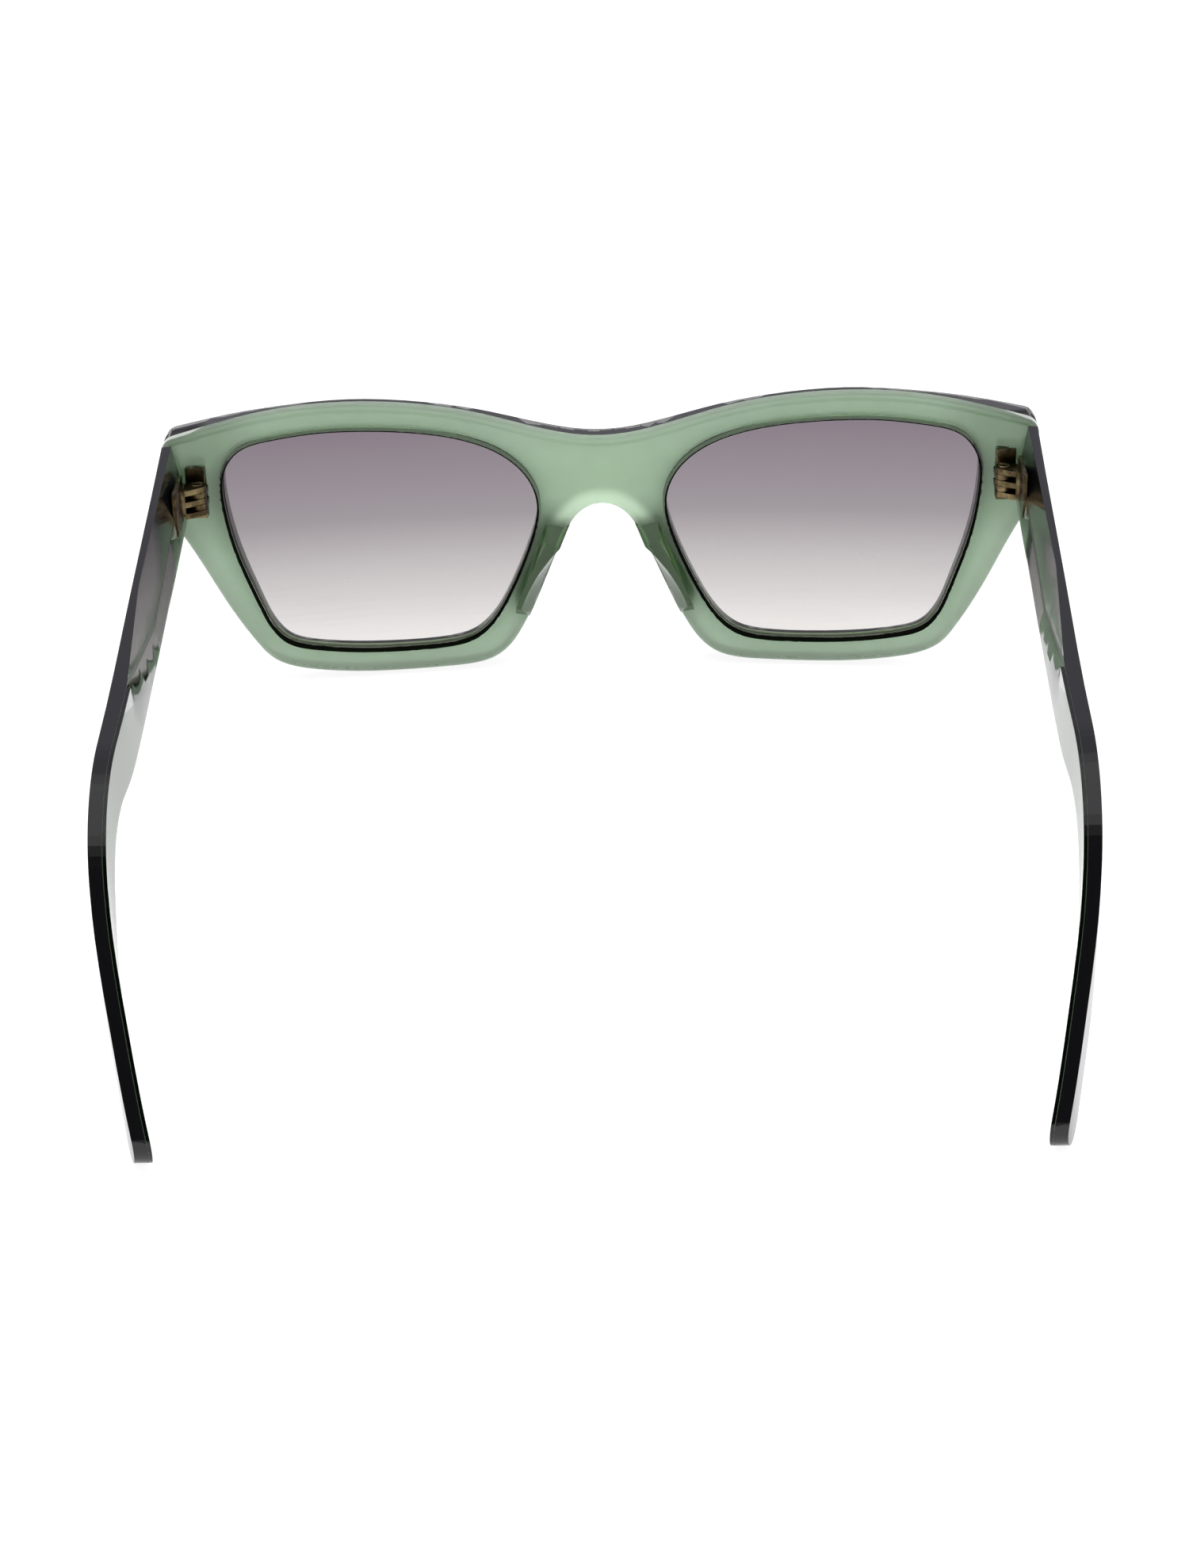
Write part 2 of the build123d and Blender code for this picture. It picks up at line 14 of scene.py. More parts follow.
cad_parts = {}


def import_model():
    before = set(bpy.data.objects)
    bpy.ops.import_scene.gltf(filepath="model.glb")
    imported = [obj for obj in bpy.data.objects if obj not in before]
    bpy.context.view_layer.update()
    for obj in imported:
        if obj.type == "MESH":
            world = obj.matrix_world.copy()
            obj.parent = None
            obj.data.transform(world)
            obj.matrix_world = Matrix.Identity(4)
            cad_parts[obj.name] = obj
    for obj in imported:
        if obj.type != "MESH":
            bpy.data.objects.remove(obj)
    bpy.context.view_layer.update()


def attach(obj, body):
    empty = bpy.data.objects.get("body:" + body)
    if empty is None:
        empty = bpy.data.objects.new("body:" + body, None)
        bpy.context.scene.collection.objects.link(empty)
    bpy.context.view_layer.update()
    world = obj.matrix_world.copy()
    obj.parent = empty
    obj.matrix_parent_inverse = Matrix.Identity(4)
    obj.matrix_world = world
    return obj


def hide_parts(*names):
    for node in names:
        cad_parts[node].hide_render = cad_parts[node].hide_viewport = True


log = logging.getLogger("sunglasses")

Colour = tuple[float, float, float, float]

# The face attribute that says how each face of the green ply is finished.
PLY_MARK = "lens_seat"
ACETATE_IOR = 1.49
SENSOR_WIDTH_MM = 36.0
WHITE: Colour = (1.0, 1.0, 1.0, 1.0)


class Side(Enum):
    """The wearer's side a piece is on."""

    LEFT = "left"
    RIGHT = "right"


class Body(Enum):
    """The rigid bodies of the frame."""

    FRONT = "front"
    TEMPLE_LEFT = "temple_left"
    TEMPLE_RIGHT = "temple_right"


def hex_colour(code: str) -> Colour:
    """Turn an sRGB hex colour into a linear colour.

    Args:
        code: Six hex digits, red first.

    Returns:
        Linear red, green, blue and an alpha of one.
    """
    channels = np.array([int(code[i : i + 2], 16) for i in (0, 2, 4)]) / 255.0
    linear = np.where(channels <= 0.04045, channels / 12.92, ((channels + 0.055) / 1.055) ** 2.4)
    return (float(linear[0]), float(linear[1]), float(linear[2]), 1.0)


class Tree:
    """A small helper that adds and joins shader nodes."""

    def __init__(self, tree: bpy.types.NodeTree) -> None:
        """Start from an emptied node tree."""
        self.tree = tree
        self.tree.nodes.clear()

    def add(self, kind: str, inputs: dict[Any, Any] | None = None, **settings: Any) -> bpy.types.Node:
        """Add one node.

        Args:
            kind: Blender's node type name.
            inputs: Values or output sockets, by input name or number.
            **settings: Attributes set on the node itself.

        Returns:
            The new node.
        """
        node = self.tree.nodes.new(kind)
        for name, value in settings.items():
            setattr(node, name, value)
        for name, value in (inputs or {}).items():
            if isinstance(value, bpy.types.NodeSocket):
                self.tree.links.new(value, node.inputs[name])
            else:
                node.inputs[name].default_value = value
        return node

    def math(self, operation: str, *values: Any) -> bpy.types.NodeSocket:
        """Add a Math node and return its output."""
        return self.add("ShaderNodeMath", dict(enumerate(values)), operation=operation).outputs[0]

    def product(self, *values: Any) -> bpy.types.NodeSocket:
        """Multiply two or more values and return the result.

        Args:
            *values: Numbers or output sockets.

        Returns:
            The product's socket.
        """
        result = values[0]
        for value in values[1:]:
            result = self.math("MULTIPLY", result, value)
        return result

    def drive(self, value: bpy.types.NodeSocket, shader: bpy.types.Node, name: str) -> None:
        """Let a value drive a shader's input."""
        self.tree.links.new(value, shader.inputs[name])

    def mix(self, share: Any, first: Any, second: Any) -> bpy.types.NodeSocket:
        """Mix two colours by a share and return the result."""
        node = self.add("ShaderNodeMix", {0: share, 6: first, 7: second}, data_type="RGBA")
        return node.outputs[2]

    def ramp(self, value: Any, low: float, high: float) -> bpy.types.NodeSocket:
        """Map a value smoothly onto 0 to 1.

        Args:
            value: The value's socket.
            low: Where the result is 0.
            high: Where the result is 1; it may be less than low.

        Returns:
            The result's socket.
        """
        inputs = {"Value": value, "From Min": low, "From Max": high}
        node = self.add("ShaderNodeMapRange", inputs, interpolation_type="SMOOTHSTEP")
        return node.outputs["Result"]

    def noise(self, vector: Any, scale: float, detail: float = 3.0) -> bpy.types.NodeSocket:
        """Add noise of a given scale in cycles per metre and return its value."""
        node = self.add("ShaderNodeTexNoise", {"Vector": vector, "Scale": scale, "Detail": detail})
        return node.outputs[0]


@dataclass(frozen=True)
class FrontSpace:
    """The front's own upright space: x across, v through its thickness, w up.

    It is leaned by the pantoscopic angle, and its back face is a cylinder whose axis
    stands behind the wearer.
    """

    lean_deg: float = 8.0
    back_radius: float = 0.400
    origin: tuple[float, float, float] = (0.0, -0.058390, 0.000401)

    @property
    def depth_axis(self) -> Vector:
        """Unit vector through the thickness, towards the wearer."""
        lean = math.radians(self.lean_deg)
        return Vector((0.0, math.cos(lean), math.sin(lean)))

    @property
    def up_axis(self) -> Vector:
        """Unit vector up the leaned front."""
        lean = math.radians(self.lean_deg)
        return Vector((0.0, -math.sin(lean), math.cos(lean)))

    def along(self, tree: Tree, axis: Vector) -> bpy.types.NodeSocket:
        """Work out the distance from the origin along an axis, from Object coordinates.

        Args:
            tree: The material's node tree.
            axis: A unit vector.

        Returns:
            The distance's socket, in metres.
        """
        place = tree.add("ShaderNodeTexCoord").outputs["Object"]
        away = tree.add("ShaderNodeVectorMath", {0: place, 1: self.origin}, operation="SUBTRACT")
        dot = tree.add("ShaderNodeVectorMath", {0: away.outputs[0], 1: axis}, operation="DOT_PRODUCT")
        return dot.outputs["Value"]

    def height(self, tree: Tree) -> bpy.types.NodeSocket:
        """Height w up the front."""
        return self.along(tree, self.up_axis)

    def forward_of_back(self, tree: Tree) -> bpy.types.NodeSocket:
        """Work out the distance in front of the back face.

        It is the distance from the cylinder's axis, less the cylinder's radius.

        Args:
            tree: The material's node tree.

        Returns:
            The distance's socket, in metres.
        """
        depth = tree.math("SUBTRACT", self.along(tree, self.depth_axis), self.back_radius)
        place = tree.add("ShaderNodeTexCoord").outputs["Object"]
        across = tree.add("ShaderNodeSeparateXYZ", {0: place}).outputs[0]
        square = tree.math("ADD", tree.product(depth, depth), tree.product(across, across))
        return tree.math("SUBTRACT", tree.math("SQRT", square), self.back_radius)


def new_material(name: str) -> tuple[bpy.types.Material, Tree]:
    """Make an empty node material.

    Args:
        name: The material's name.

    Returns:
        The material and its emptied tree.
    """
    material = bpy.data.materials.new(name)
    material.use_nodes = True
    return material, Tree(material.node_tree)


def close(tree: Tree, shader: bpy.types.Node, volume: bpy.types.Node | None = None) -> None:
    """Join a surface shader, and a volume if there is one, to the material output.

    Args:
        tree: The material's node tree.
        shader: The surface shader.
        volume: The volume shader, where the material has one.
    """
    inputs = {"Surface": shader.outputs[0]}
    if volume is not None:
        inputs["Volume"] = volume.outputs[0]
    tree.add("ShaderNodeOutputMaterial", inputs)


def stain(tree: Tree, code: str, density: float) -> bpy.types.Node:
    """Add the volume that colours clear plastic more deeply the further light runs in it."""
    inputs = {"Color": hex_colour(code), "Density": density}
    return tree.add("ShaderNodeVolumeAbsorption", inputs)


@dataclass(frozen=True)
class GreenAcetate:
    """Clear green cellulose acetate, moulded or cut and then tumbled to a soft polish."""

    name: str
    absorb: str
    density: float
    roughness: float
    body: str = "FFFFFF"
    clear: float = 1.0

    def build(self) -> bpy.types.Material:
        """Make clear plastic; the body colour shows where it isn't wholly clear.

        Returns:
            The material.
        """
        material, tree = new_material(self.name)
        inputs = {
            "Base Color": hex_colour(self.body),
            "Roughness": self.roughness,
            "IOR": ACETATE_IOR,
            "Transmission Weight": self.clear,
        }
        shader = tree.add("ShaderNodeBsdfPrincipled", inputs)
        close(tree, shader, stain(tree, self.absorb, self.density))
        return material


@dataclass(frozen=True)
class LaminatedGreen:
    """Clear green acetate sheet over a pale bonded layer: bright, with painted shade where light is kept
    off.

    Lengths are in metres, and heights run up the front from its foot.
    """

    name: str = "clear_green_acetate"
    thickness: float = 0.003
    absorb: str = "A9DCA8"
    density: float = 135.0
    roughness: float = 0.04
    pale: str = "F8F9F5"
    # Painted shade: the green that the brow ends and the nose sides darken towards.
    shade_green: str = "44702F"
    arch_centre: float = 0.0215
    arch_edge: float = 0.0078
    arch_fade: float = 0.0102
    # Strength of the painted light on the sheet's edge above the nose arch.
    arch_painted_light: float = 0.45
    # How far the painted shade darkens the brow ends and the nose sides.
    end_shade: float = 0.42
    nose_depth: float = 0.85
    space: FrontSpace = field(default_factory=FrontSpace)

    def arch_share(self, tree: Tree) -> bpy.types.NodeSocket:
        """Share of the painted light that stands for what the edge of the nose arch gathers from below.

        It falls from 1 at the arch to 0 about 2 mm above it.

        Args:
            tree: The material's node tree.

        Returns:
            The share's socket.
        """
        place = tree.add("ShaderNodeTexCoord").outputs["Object"]
        across = tree.add("ShaderNodeSeparateXYZ", {0: place}).outputs[0]
        height = self.space.height(tree)
        rise = tree.math("SUBTRACT", height, self.arch_centre)
        square = tree.math("ADD", tree.product(across, across), tree.product(rise, rise))
        reach = tree.math("SQRT", square)
        near = tree.math("SUBTRACT", 1.0, tree.ramp(reach, self.arch_edge, self.arch_fade))
        return tree.product(near, tree.ramp(height, 0.024, 0.027))

    def bond_colour(self, tree: Tree) -> bpy.types.NodeSocket:
        """Colour of the bonded face: pale, with painted shade at the brow ends and beside the nose.

        Args:
            tree: The material's node tree.

        Returns:
            The colour's socket.
        """
        place = tree.add("ShaderNodeTexCoord").outputs["Object"]
        across = tree.math("ABSOLUTE", tree.add("ShaderNodeSeparateXYZ", {0: place}).outputs[0])
        height = self.space.height(tree)
        # Brow ends: painted shade that deepens the green where the hinge blocks and the temples keep light
        # away.
        outer = tree.ramp(across, 0.054, 0.065)
        ends = tree.product(outer, tree.ramp(height, 0.020, 0.032), self.end_shade)
        # Nose sides: painted shade of the pads behind the narrow rim, darkest here.
        beside = tree.math("SUBTRACT", 1.0, tree.ramp(across, 0.0135, 0.0175))
        under = tree.math("SUBTRACT", 1.0, tree.ramp(height, 0.0235, 0.0305))
        over = tree.math("MULTIPLY", tree.ramp(height, 0.006, 0.014), self.nose_depth)
        nose = tree.product(beside, under, over)
        colour = tree.mix(tree.math("MAXIMUM", ends, nose), hex_colour(self.pale), hex_colour(self.shade_green))
        # Faint clouding inside the sheet, a few millimetres across.
        cloud = tree.product(tree.ramp(tree.noise(place, 160.0), 0.4, 0.8), 0.10)
        return tree.mix(cloud, colour, hex_colour("B9C8B2"))

    def build(self) -> bpy.types.Material:
        """Make polished clear plastic whose marked faces are bonded, painted with shadow or frosted, with
        painted light above the nose arch.

        Returns:
            The material.
        """
        material, tree = new_material(self.name)
        shader = tree.add("ShaderNodeBsdfPrincipled", {"IOR": ACETATE_IOR})
        depth = self.space.forward_of_back(tree)
        mark = tree.add("ShaderNodeAttribute", attribute_name=PLY_MARK).outputs["Fac"]
        bonded = tree.math("LESS_THAN", mark, -0.5)
        arch = tree.math("GREATER_THAN", mark, 1.5)
        wall = tree.math("SUBTRACT", tree.math("GREATER_THAN", mark, 0.01), arch)
        # The lens seats in this wall: the shadow of its groove is painted as a dark line round the
        # opening.
        shadow = tree.math("LESS_THAN", depth, tree.product(mark, self.thickness))
        seat_shade_colour = tree.mix(shadow, hex_colour("93A58A"), hex_colour("0A0D08"))
        colour = tree.mix(bonded, WHITE, self.bond_colour(tree))
        tree.drive(tree.mix(wall, colour, seat_shade_colour), shader, "Base Color")
        # The bonded face and the seats are dull and opaque, and the seats have no gloss.
        dull = tree.math("MAXIMUM", bonded, wall)
        tree.drive(tree.math("SUBTRACT", 1.0, dull), shader, "Transmission Weight")
        tree.drive(tree.math("MULTIPLY_ADD", wall, -0.5, 0.5), shader, "Specular IOR Level")
        # The wall of the nose arch is frosted, and the sheet's edge above it has painted light: a soft
        # emission that stands for light gathered from below.
        tree.drive(tree.math("MULTIPLY_ADD", arch, 0.5, self.roughness), shader, "Roughness")
        shader.inputs["Emission Color"].default_value = hex_colour("EEF6EA")
        painted_glow = tree.product(self.arch_share(tree), bonded, self.arch_painted_light)
        tree.drive(painted_glow, shader, "Emission Strength")
        close(tree, shader, stain(tree, self.absorb, self.density))
        return material


@dataclass(frozen=True)
class BlackAcetate:
    """Polished black acetate: nearly no colour of its own, a clean gloss and faint handling marks."""

    name: str = "polished_black_acetate"

    def build(self) -> bpy.types.Material:
        """Make a black base with a gloss that faint rubbed patches soften a little.

        Returns:
            The material.
        """
        material, tree = new_material(self.name)
        place = tree.add("ShaderNodeTexCoord").outputs["Object"]
        rubbed = tree.ramp(tree.noise(place, 90.0), 0.45, 0.75)
        rough = tree.math("MULTIPLY_ADD", rubbed, 0.05, 0.12)
        inputs = {"Base Color": hex_colour("0B0B0D"), "Roughness": rough, "IOR": 1.5}
        close(tree, tree.add("ShaderNodeBsdfPrincipled", inputs))
        return material


@dataclass(frozen=True)
class GradedLens:
    """Grey sun lens, dark at the top and nearly clear at the bottom, with smears and dust.

    Each stop is a share of the height between bottom and top, and the tint there.
    """

    name: str = "graded_grey_lens"
    bottom: float = 0.003
    top: float = 0.044
    stops: tuple[tuple[float, str], ...] = (
        (0.0, "E8E6E3"),
        (0.25, "C4C0BF"),
        (0.6, "8F898D"),
        (1.0, "786D76"),
    )
    space: FrontSpace = field(default_factory=FrontSpace)

    def build(self) -> bpy.types.Material:
        """Make a clear polished plate whose tint follows the height up the front.

        The plate is thin, so it hardly bends light, and its gloss is a hard coat.

        Returns:
            The material.
        """
        material, tree = new_material(self.name)
        span = {"Value": self.space.height(tree), "From Min": self.bottom, "From Max": self.top}
        share = tree.add("ShaderNodeMapRange", span).outputs["Result"]
        ramp = tree.add("ShaderNodeValToRGB", {0: share})
        elements = ramp.color_ramp.elements
        elements[0].color = hex_colour(self.stops[0][1])
        elements[1].color = hex_colour(self.stops[-1][1])
        for position, code in self.stops[1:-1]:
            elements.new(position).color = hex_colour(code)
        place = tree.add("ShaderNodeTexCoord").outputs["Object"]
        # Wiped smears: noise drawn out across the lens, a few percent darker.
        smear = tree.add("ShaderNodeMapping", {0: place, 3: (60.0, 60.0, 900.0)})
        wiped = tree.ramp(tree.noise(smear.outputs[0], 1.0), 0.45, 0.75)
        tint = tree.mix(tree.product(wiped, 0.05), ramp.outputs[0], hex_colour("8F8A8C"))
        # Dust: sparse specks about 0.15 mm across that scatter instead of passing light.
        cells = tree.add("ShaderNodeTexVoronoi", {"Vector": place, "Scale": 1100.0})
        speck = tree.math("LESS_THAN", cells.outputs["Distance"], 0.07)
        rare = tree.math("GREATER_THAN", tree.noise(place, 260.0), 0.55)
        dust = tree.product(speck, rare, 0.35)
        inputs = {
            "Base Color": tint,
            "Roughness": 0.0,
            "IOR": 1.01,
            "Transmission Weight": tree.math("SUBTRACT", 1.0, dust),
            "Coat Weight": 0.25,
            "Coat Roughness": 0.02,
            "Coat IOR": 1.5,
        }
        close(tree, tree.add("ShaderNodeBsdfPrincipled", inputs))
        return material


@dataclass(frozen=True)
class AntiqueGold:
    """Worn antique gold plate: brown tarnish with brighter, smoother rubbed patches."""

    name: str = "antique_gold_plate"
    dark: str = "3B3020"
    bright: str = "857656"

    def build(self) -> bpy.types.Material:
        """Make a metal whose colour moves between tarnish and bright plate in 2 mm patches.

        Returns:
            The material.
        """
        material, tree = new_material(self.name)
        place = tree.add("ShaderNodeTexCoord").outputs["Object"]
        worn = tree.ramp(tree.noise(place, 500.0, 5.0), 0.3, 0.8)
        colour = tree.mix(worn, hex_colour(self.dark), hex_colour(self.bright))
        rough = tree.math("MULTIPLY_ADD", worn, -0.12, 0.34)
        inputs = {"Base Color": colour, "Metallic": 1.0, "Roughness": rough}
        close(tree, tree.add("ShaderNodeBsdfPrincipled", inputs))
        return material


@dataclass(frozen=True)
class PlainFinish:
    """A plain finish for a hidden or very small piece."""

    name: str
    colour: str
    metallic: float = 0.0
    roughness: float = 0.4

    def build(self) -> bpy.types.Material:
        """Make one colour, broken up slightly by fine mottling.

        Returns:
            The material.
        """
        material, tree = new_material(self.name)
        place = tree.add("ShaderNodeTexCoord").outputs["Object"]
        base = hex_colour(self.colour)
        deeper = tuple(0.8 * c for c in base[:3]) + (1.0,)
        colour = tree.mix(tree.noise(place, 400.0), base, deeper)
        inputs = {"Base Color": colour, "Metallic": self.metallic, "Roughness": self.roughness}
        close(tree, tree.add("ShaderNodeBsdfPrincipled", inputs))
        return material


@dataclass(frozen=True)
class PlyMarks:
    """Marks on the green ply's faces: lens seats, bonded face and nose arch.

    Lengths are in metres, in the front's own space.
    """

    lens_across: float = 0.0365
    lens_up: float = 0.0238
    lens_reach: float = 0.0268
    lens_foot: float = 0.003
    lens_head: float = 0.0448
    corner_height: float = 0.0305
    bond_depth: float = 0.00275
    arch_half_width: float = 0.0085
    arch_heights: tuple[float, float] = (0.020, 0.032)
    bonded_mark: float = -1.0
    arch_mark: float = 2.0
    space: FrontSpace = field(default_factory=FrontSpace)

    def seat_share(self, height: np.ndarray, sideways: np.ndarray) -> np.ndarray:
        """Share of the ply's thickness that the shadow of the lens groove takes.

        It is just under a half. At the rounded upper corners it rises to the whole, by how
        far sideways the wall there faces.

        Args:
            height: Height of each face up the front.
            sideways: How far sideways each face looks, from 0 to 1.

        Returns:
            The share for each face.
        """
        turn = np.clip((sideways - 0.15) / 0.45, 0.0, 1.0)
        return np.where(height > self.corner_height, 0.48 + 0.52 * turn, 0.45)

    def write(self, mesh: bpy.types.Mesh) -> None:
        """Write a mark on every face.

        A wall face of a lens opening looks across the front, towards the middle of the lens,
        and the groove's own sides lie deeper in the same ring: both carry the share of the
        shadow. The face bonded to the next ply and the wall of the nose arch have marks of
        their own, and every other face has 0.

        Args:
            mesh: The merged mesh of the green ply.
        """
        count = len(mesh.polygons)
        centres = np.empty(count * 3)
        normals = np.empty(count * 3)
        mesh.polygons.foreach_get("center", centres)
        mesh.polygons.foreach_get("normal", normals)
        centres = centres.reshape(-1, 3) - np.array(self.space.origin)
        normals = normals.reshape(-1, 3)
        depth_axis = np.array(self.space.depth_axis)
        height = centres @ np.array(self.space.up_axis)
        upward = normals @ np.array(self.space.up_axis)
        through = np.abs(normals @ depth_axis)
        behind = centres @ depth_axis - self.space.back_radius
        depth = np.hypot(behind, centres[:, 0]) - self.space.back_radius
        # The way from each face to the middle of its own lens, and how far it looks that way.
        inward = self.lens_across * np.sign(centres[:, 0]) - centres[:, 0]
        rise = self.lens_up - height
        facing = (normals[:, 0] * inward + upward * rise) / np.hypot(inward, rise)
        ring = (np.abs(inward) < self.lens_reach) & (height > self.lens_foot) & (height < self.lens_head)
        wall = (facing > 0.25) & (depth > 0.00004)
        groove = (facing > -0.25) & (depth > 0.0006) & (depth < self.bond_depth)
        share = self.seat_share(height, np.abs(normals[:, 0]))
        marks = np.where(ring & (wall | groove), share, 0.0)
        marks = np.where((depth > self.bond_depth) & (through > 0.85), self.bonded_mark, marks)
        low, high = self.arch_heights
        under = (np.abs(centres[:, 0]) < self.arch_half_width) & (height > low) & (height < high)
        marks = np.where(under & (upward < -0.15) & (through < 0.9), self.arch_mark, marks)
        layer = mesh.attributes.new(PLY_MARK, "FLOAT", "FACE")
        layer.data.foreach_set("value", marks.astype(np.float32))


@dataclass(frozen=True)
class FrontCurve:
    """Exact shading normals for the faces that lie along the front's curve."""

    least_match: float = 0.985
    space: FrontSpace = field(default_factory=FrontSpace)

    def apply(self, mesh: bpy.types.Mesh) -> None:
        """Turn the corner normals of faces on the curve to the cylinder's own direction.

        At each corner that direction runs from the cylinder's axis through the corner. Corners
        of faces that match it less well than the least match keep their normals.

        Args:
            mesh: A merged mesh of triangles.
        """
        corner = np.empty(len(mesh.loops) * 3)
        owner = np.empty(len(mesh.loops), dtype=np.int32)
        places = np.empty(len(mesh.vertices) * 3)
        faces = np.empty(len(mesh.polygons) * 3)
        mesh.corner_normals.foreach_get("vector", corner)
        mesh.loops.foreach_get("vertex_index", owner)
        mesh.vertices.foreach_get("co", places)
        mesh.polygons.foreach_get("normal", faces)
        depth_axis = np.array(self.space.depth_axis)
        away = places.reshape(-1, 3)[owner] - np.array(self.space.origin)
        radial = np.outer(away @ depth_axis - self.space.back_radius, depth_axis)
        radial[:, 0] += away[:, 0]
        radial /= np.linalg.norm(radial, axis=1)[:, None]
        match = np.sum(np.repeat(faces.reshape(-1, 3), 3, axis=0) * radial, axis=1)
        lies_on = (np.abs(match) > self.least_match)[:, None]
        exact = np.where(lies_on, radial * np.sign(match)[:, None], corner.reshape(-1, 3))
        mesh.normals_split_custom_set(exact)


@dataclass(frozen=True)
class Skin:
    """A smooth-shaded copy of a CAD node: its loose triangles joined, its edges softened.

    The merge distance is in metres.
    """

    node: str
    body: Body
    material: bpy.types.Material
    slot: str
    soften_mm: float = 0.0
    relief_mm: float = 0.0
    merge_distance: float = 1.5e-6
    sharp_deg: float = 32.0
    marks: PlyMarks | None = None
    curve: FrontCurve | None = None

    def merged(self) -> bpy.types.Mesh:
        """Copy the node's mesh and join its triangles.

        Returns:
            The merged copy, its faces outward.
        """
        mesh = bpy.data.objects[self.node].data.copy()
        mesh.name = self.node + "_skin"
        work = bmesh.new()
        work.from_mesh(mesh)
        bmesh.ops.remove_doubles(work, verts=work.verts, dist=self.merge_distance)
        bmesh.ops.recalc_face_normals(work, faces=work.faces)
        work.to_mesh(mesh)
        work.free()
        return mesh

    def shrink(self, mesh: bpy.types.Mesh) -> None:
        """Draw every vertex in along its normal, so that bonded faces share no plane.

        Args:
            mesh: The merged mesh.
        """
        places = np.empty(len(mesh.vertices) * 3)
        normals = np.empty(len(mesh.vertices) * 3)
        mesh.vertices.foreach_get("co", places)
        mesh.vertices.foreach_get("normal", normals)
        mesh.vertices.foreach_set("co", places - normals * (self.relief_mm / 1000.0))
        mesh.update()

    def soften(self, obj: bpy.types.Object) -> None:
        """Round the copy's sharp edges, as tumbling does.

        Args:
            obj: The copy.
        """
        bevel = obj.modifiers.new("soft_edges", "BEVEL")
        bevel.width = self.soften_mm / 1000.0
        bevel.segments = 2
        bevel.limit_method = "ANGLE"
        bevel.angle_limit = math.radians(35.0)
        bevel.harden_normals = True

    def build(self) -> bpy.types.Object:
        """Join the node's triangles, shade them smooth up to the sharp angle and place the copy.

        Returns:
            The copy, riding on its body and standing for the node.
        """
        mesh = self.merged()
        if self.relief_mm:
            self.shrink(mesh)
        if self.marks is not None:
            self.marks.write(mesh)
        mesh.shade_smooth()
        mesh.set_sharp_from_angle(angle=math.radians(self.sharp_deg))
        if self.curve is not None:
            self.curve.apply(mesh)
        mesh.materials.clear()
        mesh.materials.append(self.material)
        obj = bpy.data.objects.new(self.node + "_skin", mesh)
        bpy.context.scene.collection.objects.link(obj)
        if self.soften_mm:
            self.soften(obj)
        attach(obj, self.body.value)
        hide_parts(self.node)
        log.info("%s: %d faces in %s", obj.name, len(mesh.polygons), self.material.name)
        return obj


@dataclass
class Front:
    """The laminated front with its lenses, nose pads and hinge halves; sizes in millimetres."""

    bond_relief: float = 0.04
    pad_edge: float = 0.5
    hinge_edge: float = 0.08
    curve: FrontCurve = field(default_factory=FrontCurve)

    def plies(self) -> None:
        """Dress the three plies of the front."""
        front = Body.FRONT
        green = LaminatedGreen().build()
        black = BlackAcetate().build()
        opal = PlainFinish("opal_bond_layer", "6F8A70").build()
        Skin("front_green_ply", front, green, "green_acetate", marks=PlyMarks(), curve=self.curve).build()
        Skin("front_black_ply", front, black, "black_acetate", curve=self.curve).build()
        Skin("front_opal_ply", front, opal, "opal_acetate", relief_mm=self.bond_relief).build()

    def dress(self) -> None:
        """Dress the plies, then the lens, nose pad and hinge half of each side."""
        self.plies()
        front = Body.FRONT
        lens = GradedLens().build()
        pads = GreenAcetate("green_nose_pad", "9CC795", 220.0, 0.12, "5E8250", 0.8).build()
        gold = AntiqueGold().build()
        for side in Side:
            tag = side.value
            Skin(f"lens_{tag}", front, lens, "graded_lens", curve=self.curve).build()
            Skin(f"nose_pad_{tag}", front, pads, "green_acetate", self.pad_edge).build()
            Skin(f"front_hinge_{tag}", front, gold, "antique_gold", self.hinge_edge).build()


@dataclass
class Temple:
    """One temple: its plies, core wire, hinge half and screw; sizes in millimetres."""

    side: Side
    bond_relief: float = 0.03
    ply_edge: float = 0.3
    hinge_edge: float = 0.08
    screw_edge: float = 0.04

    def dress(self) -> None:
        """Dress the plies, the wire, the hinge half and the screw."""
        tag = self.side.value
        body = Body["TEMPLE_" + self.side.name]
        black = BlackAcetate().build()
        opal = PlainFinish("temple_bond_layer", "2F3A2D").build()
        green = GreenAcetate("green_temple_ply", "93B48C", 1500.0, 0.06).build()
        gold = AntiqueGold().build()
        wire = PlainFinish("core_wire", "B8B2A4", 1.0, 0.4).build()
        screw = AntiqueGold(name="screw_plate", bright="C9BB95").build()
        Skin(f"temple_black_ply_{tag}", body, black, "black_acetate", self.ply_edge).build()
        Skin(f"temple_opal_ply_{tag}", body, opal, "opal_acetate", relief_mm=self.bond_relief).build()
        Skin(f"temple_green_ply_{tag}", body, green, "green_acetate").build()
        Skin(f"temple_hinge_{tag}", body, gold, "antique_gold", self.hinge_edge).build()
        Skin(f"hinge_screw_{tag}", body, screw, "screw_gold", self.screw_edge).build()
        Skin(f"temple_core_wire_{tag}", body, wire, "core_wire").build()


